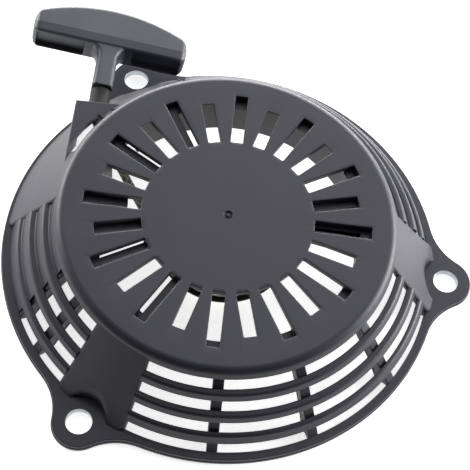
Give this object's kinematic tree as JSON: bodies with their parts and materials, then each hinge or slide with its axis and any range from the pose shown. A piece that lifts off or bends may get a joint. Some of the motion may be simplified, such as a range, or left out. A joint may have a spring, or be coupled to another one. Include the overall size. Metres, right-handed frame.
{
  "type": "recoil starter",
  "caption": "Pull-cord recoil starter for a small vertical-shaft engine: slotted, louvred round case with three bolt ears, T-handle on a rope, spring-return reel and ratchet.",
  "frame": {"origin": "on the crankshaft axis, in the plane of the ears' undersides that bolts down on the fan housing", "axes": "+Z along the crankshaft axis, out through the slotted crown; the pull handle leaves along +Y; one bolt ear stands on +X"},
  "size_m": [0.2167, 0.2097, 0.038],
  "materials": {
    "case_plastic": "satin black nylon with a fine moulded grain",
    "grip_plastic": "satin charcoal plastic",
    "sleeve_rubber": "matt black rubber",
    "reel_plastic": "black glass-filled nylon",
    "ratchet_plastic": "natural nylon",
    "starter_rope": "braided nylon rope",
    "spring_steel": "oiled spring steel",
    "zinc_steel": "zinc-plated steel"
  },
  "bodies": {
    "case": {"recoil_case": "case_plastic", "ear_bush_1": "zinc_steel", "ear_bush_2": "zinc_steel", "ear_bush_3": "zinc_steel", "rope_eyelet": "zinc_steel", "rope_run": "starter_rope", "reel_thrust_washer": "spring_steel", "recoil_spring": "spring_steel", "centre_screw": "zinc_steel", "screw_washer": "zinc_steel"},
    "reel": {"reel": "reel_plastic", "reel_rope_knot": "starter_rope", "rope_coil": "starter_rope"},
    "ratchet_guide": {"ratchet_guide": "ratchet_plastic", "friction_spring": "spring_steel"},
    "pawl_1": {"pawl_1": "ratchet_plastic"},
    "pawl_2": {"pawl_2": "ratchet_plastic"},
    "handle": {"handle_grip": "grip_plastic", "handle_sleeve": "sleeve_rubber", "handle_washer": "zinc_steel", "handle_rope_knot": "starter_rope", "rope_tail": "starter_rope", "rope_lead": "starter_rope"}
  },
  "joints": [
    {"name": "handle_pull", "type": "slide", "parent": "case", "child": "handle", "axis": [0, 1, 0], "range_m": [0, 0.95], "stiffness_N_per_m": 10.5, "springref_m": -0.48, "deforming": ["rope_lead"]},
    {"name": "reel_spin", "type": "hinge", "parent": "case", "child": "reel", "pos_m": [0, 0, 0.018], "axis": [0, 0, -1], "range_deg": [0, 2474.6], "deforming": ["recoil_spring"]},
    {"name": "ratchet_guide_turn", "type": "hinge", "parent": "reel", "child": "ratchet_guide", "pos_m": [0, 0, 0.005], "axis": [0, 0, 1], "range_deg": [0, 25]},
    {"name": "pawl_1_swing", "type": "hinge", "parent": "reel", "child": "pawl_1", "pos_m": [0, 0.0225, 0.009], "axis": [0, 0, 1], "range_deg": [0, 40]},
    {"name": "pawl_2_swing", "type": "hinge", "parent": "reel", "child": "pawl_2", "pos_m": [0, -0.0225, 0.009], "axis": [0, 0, 1], "range_deg": [0, 40]}
  ],
  "couplings": [
    {"joint": "reel_spin", "follows": "handle_pull", "rad_per_m": 45.455},
    {"joint": "pawl_1_swing", "follows": "ratchet_guide_turn", "ratio": 1.6},
    {"joint": "pawl_2_swing", "follows": "ratchet_guide_turn", "ratio": 1.6}
  ]
}
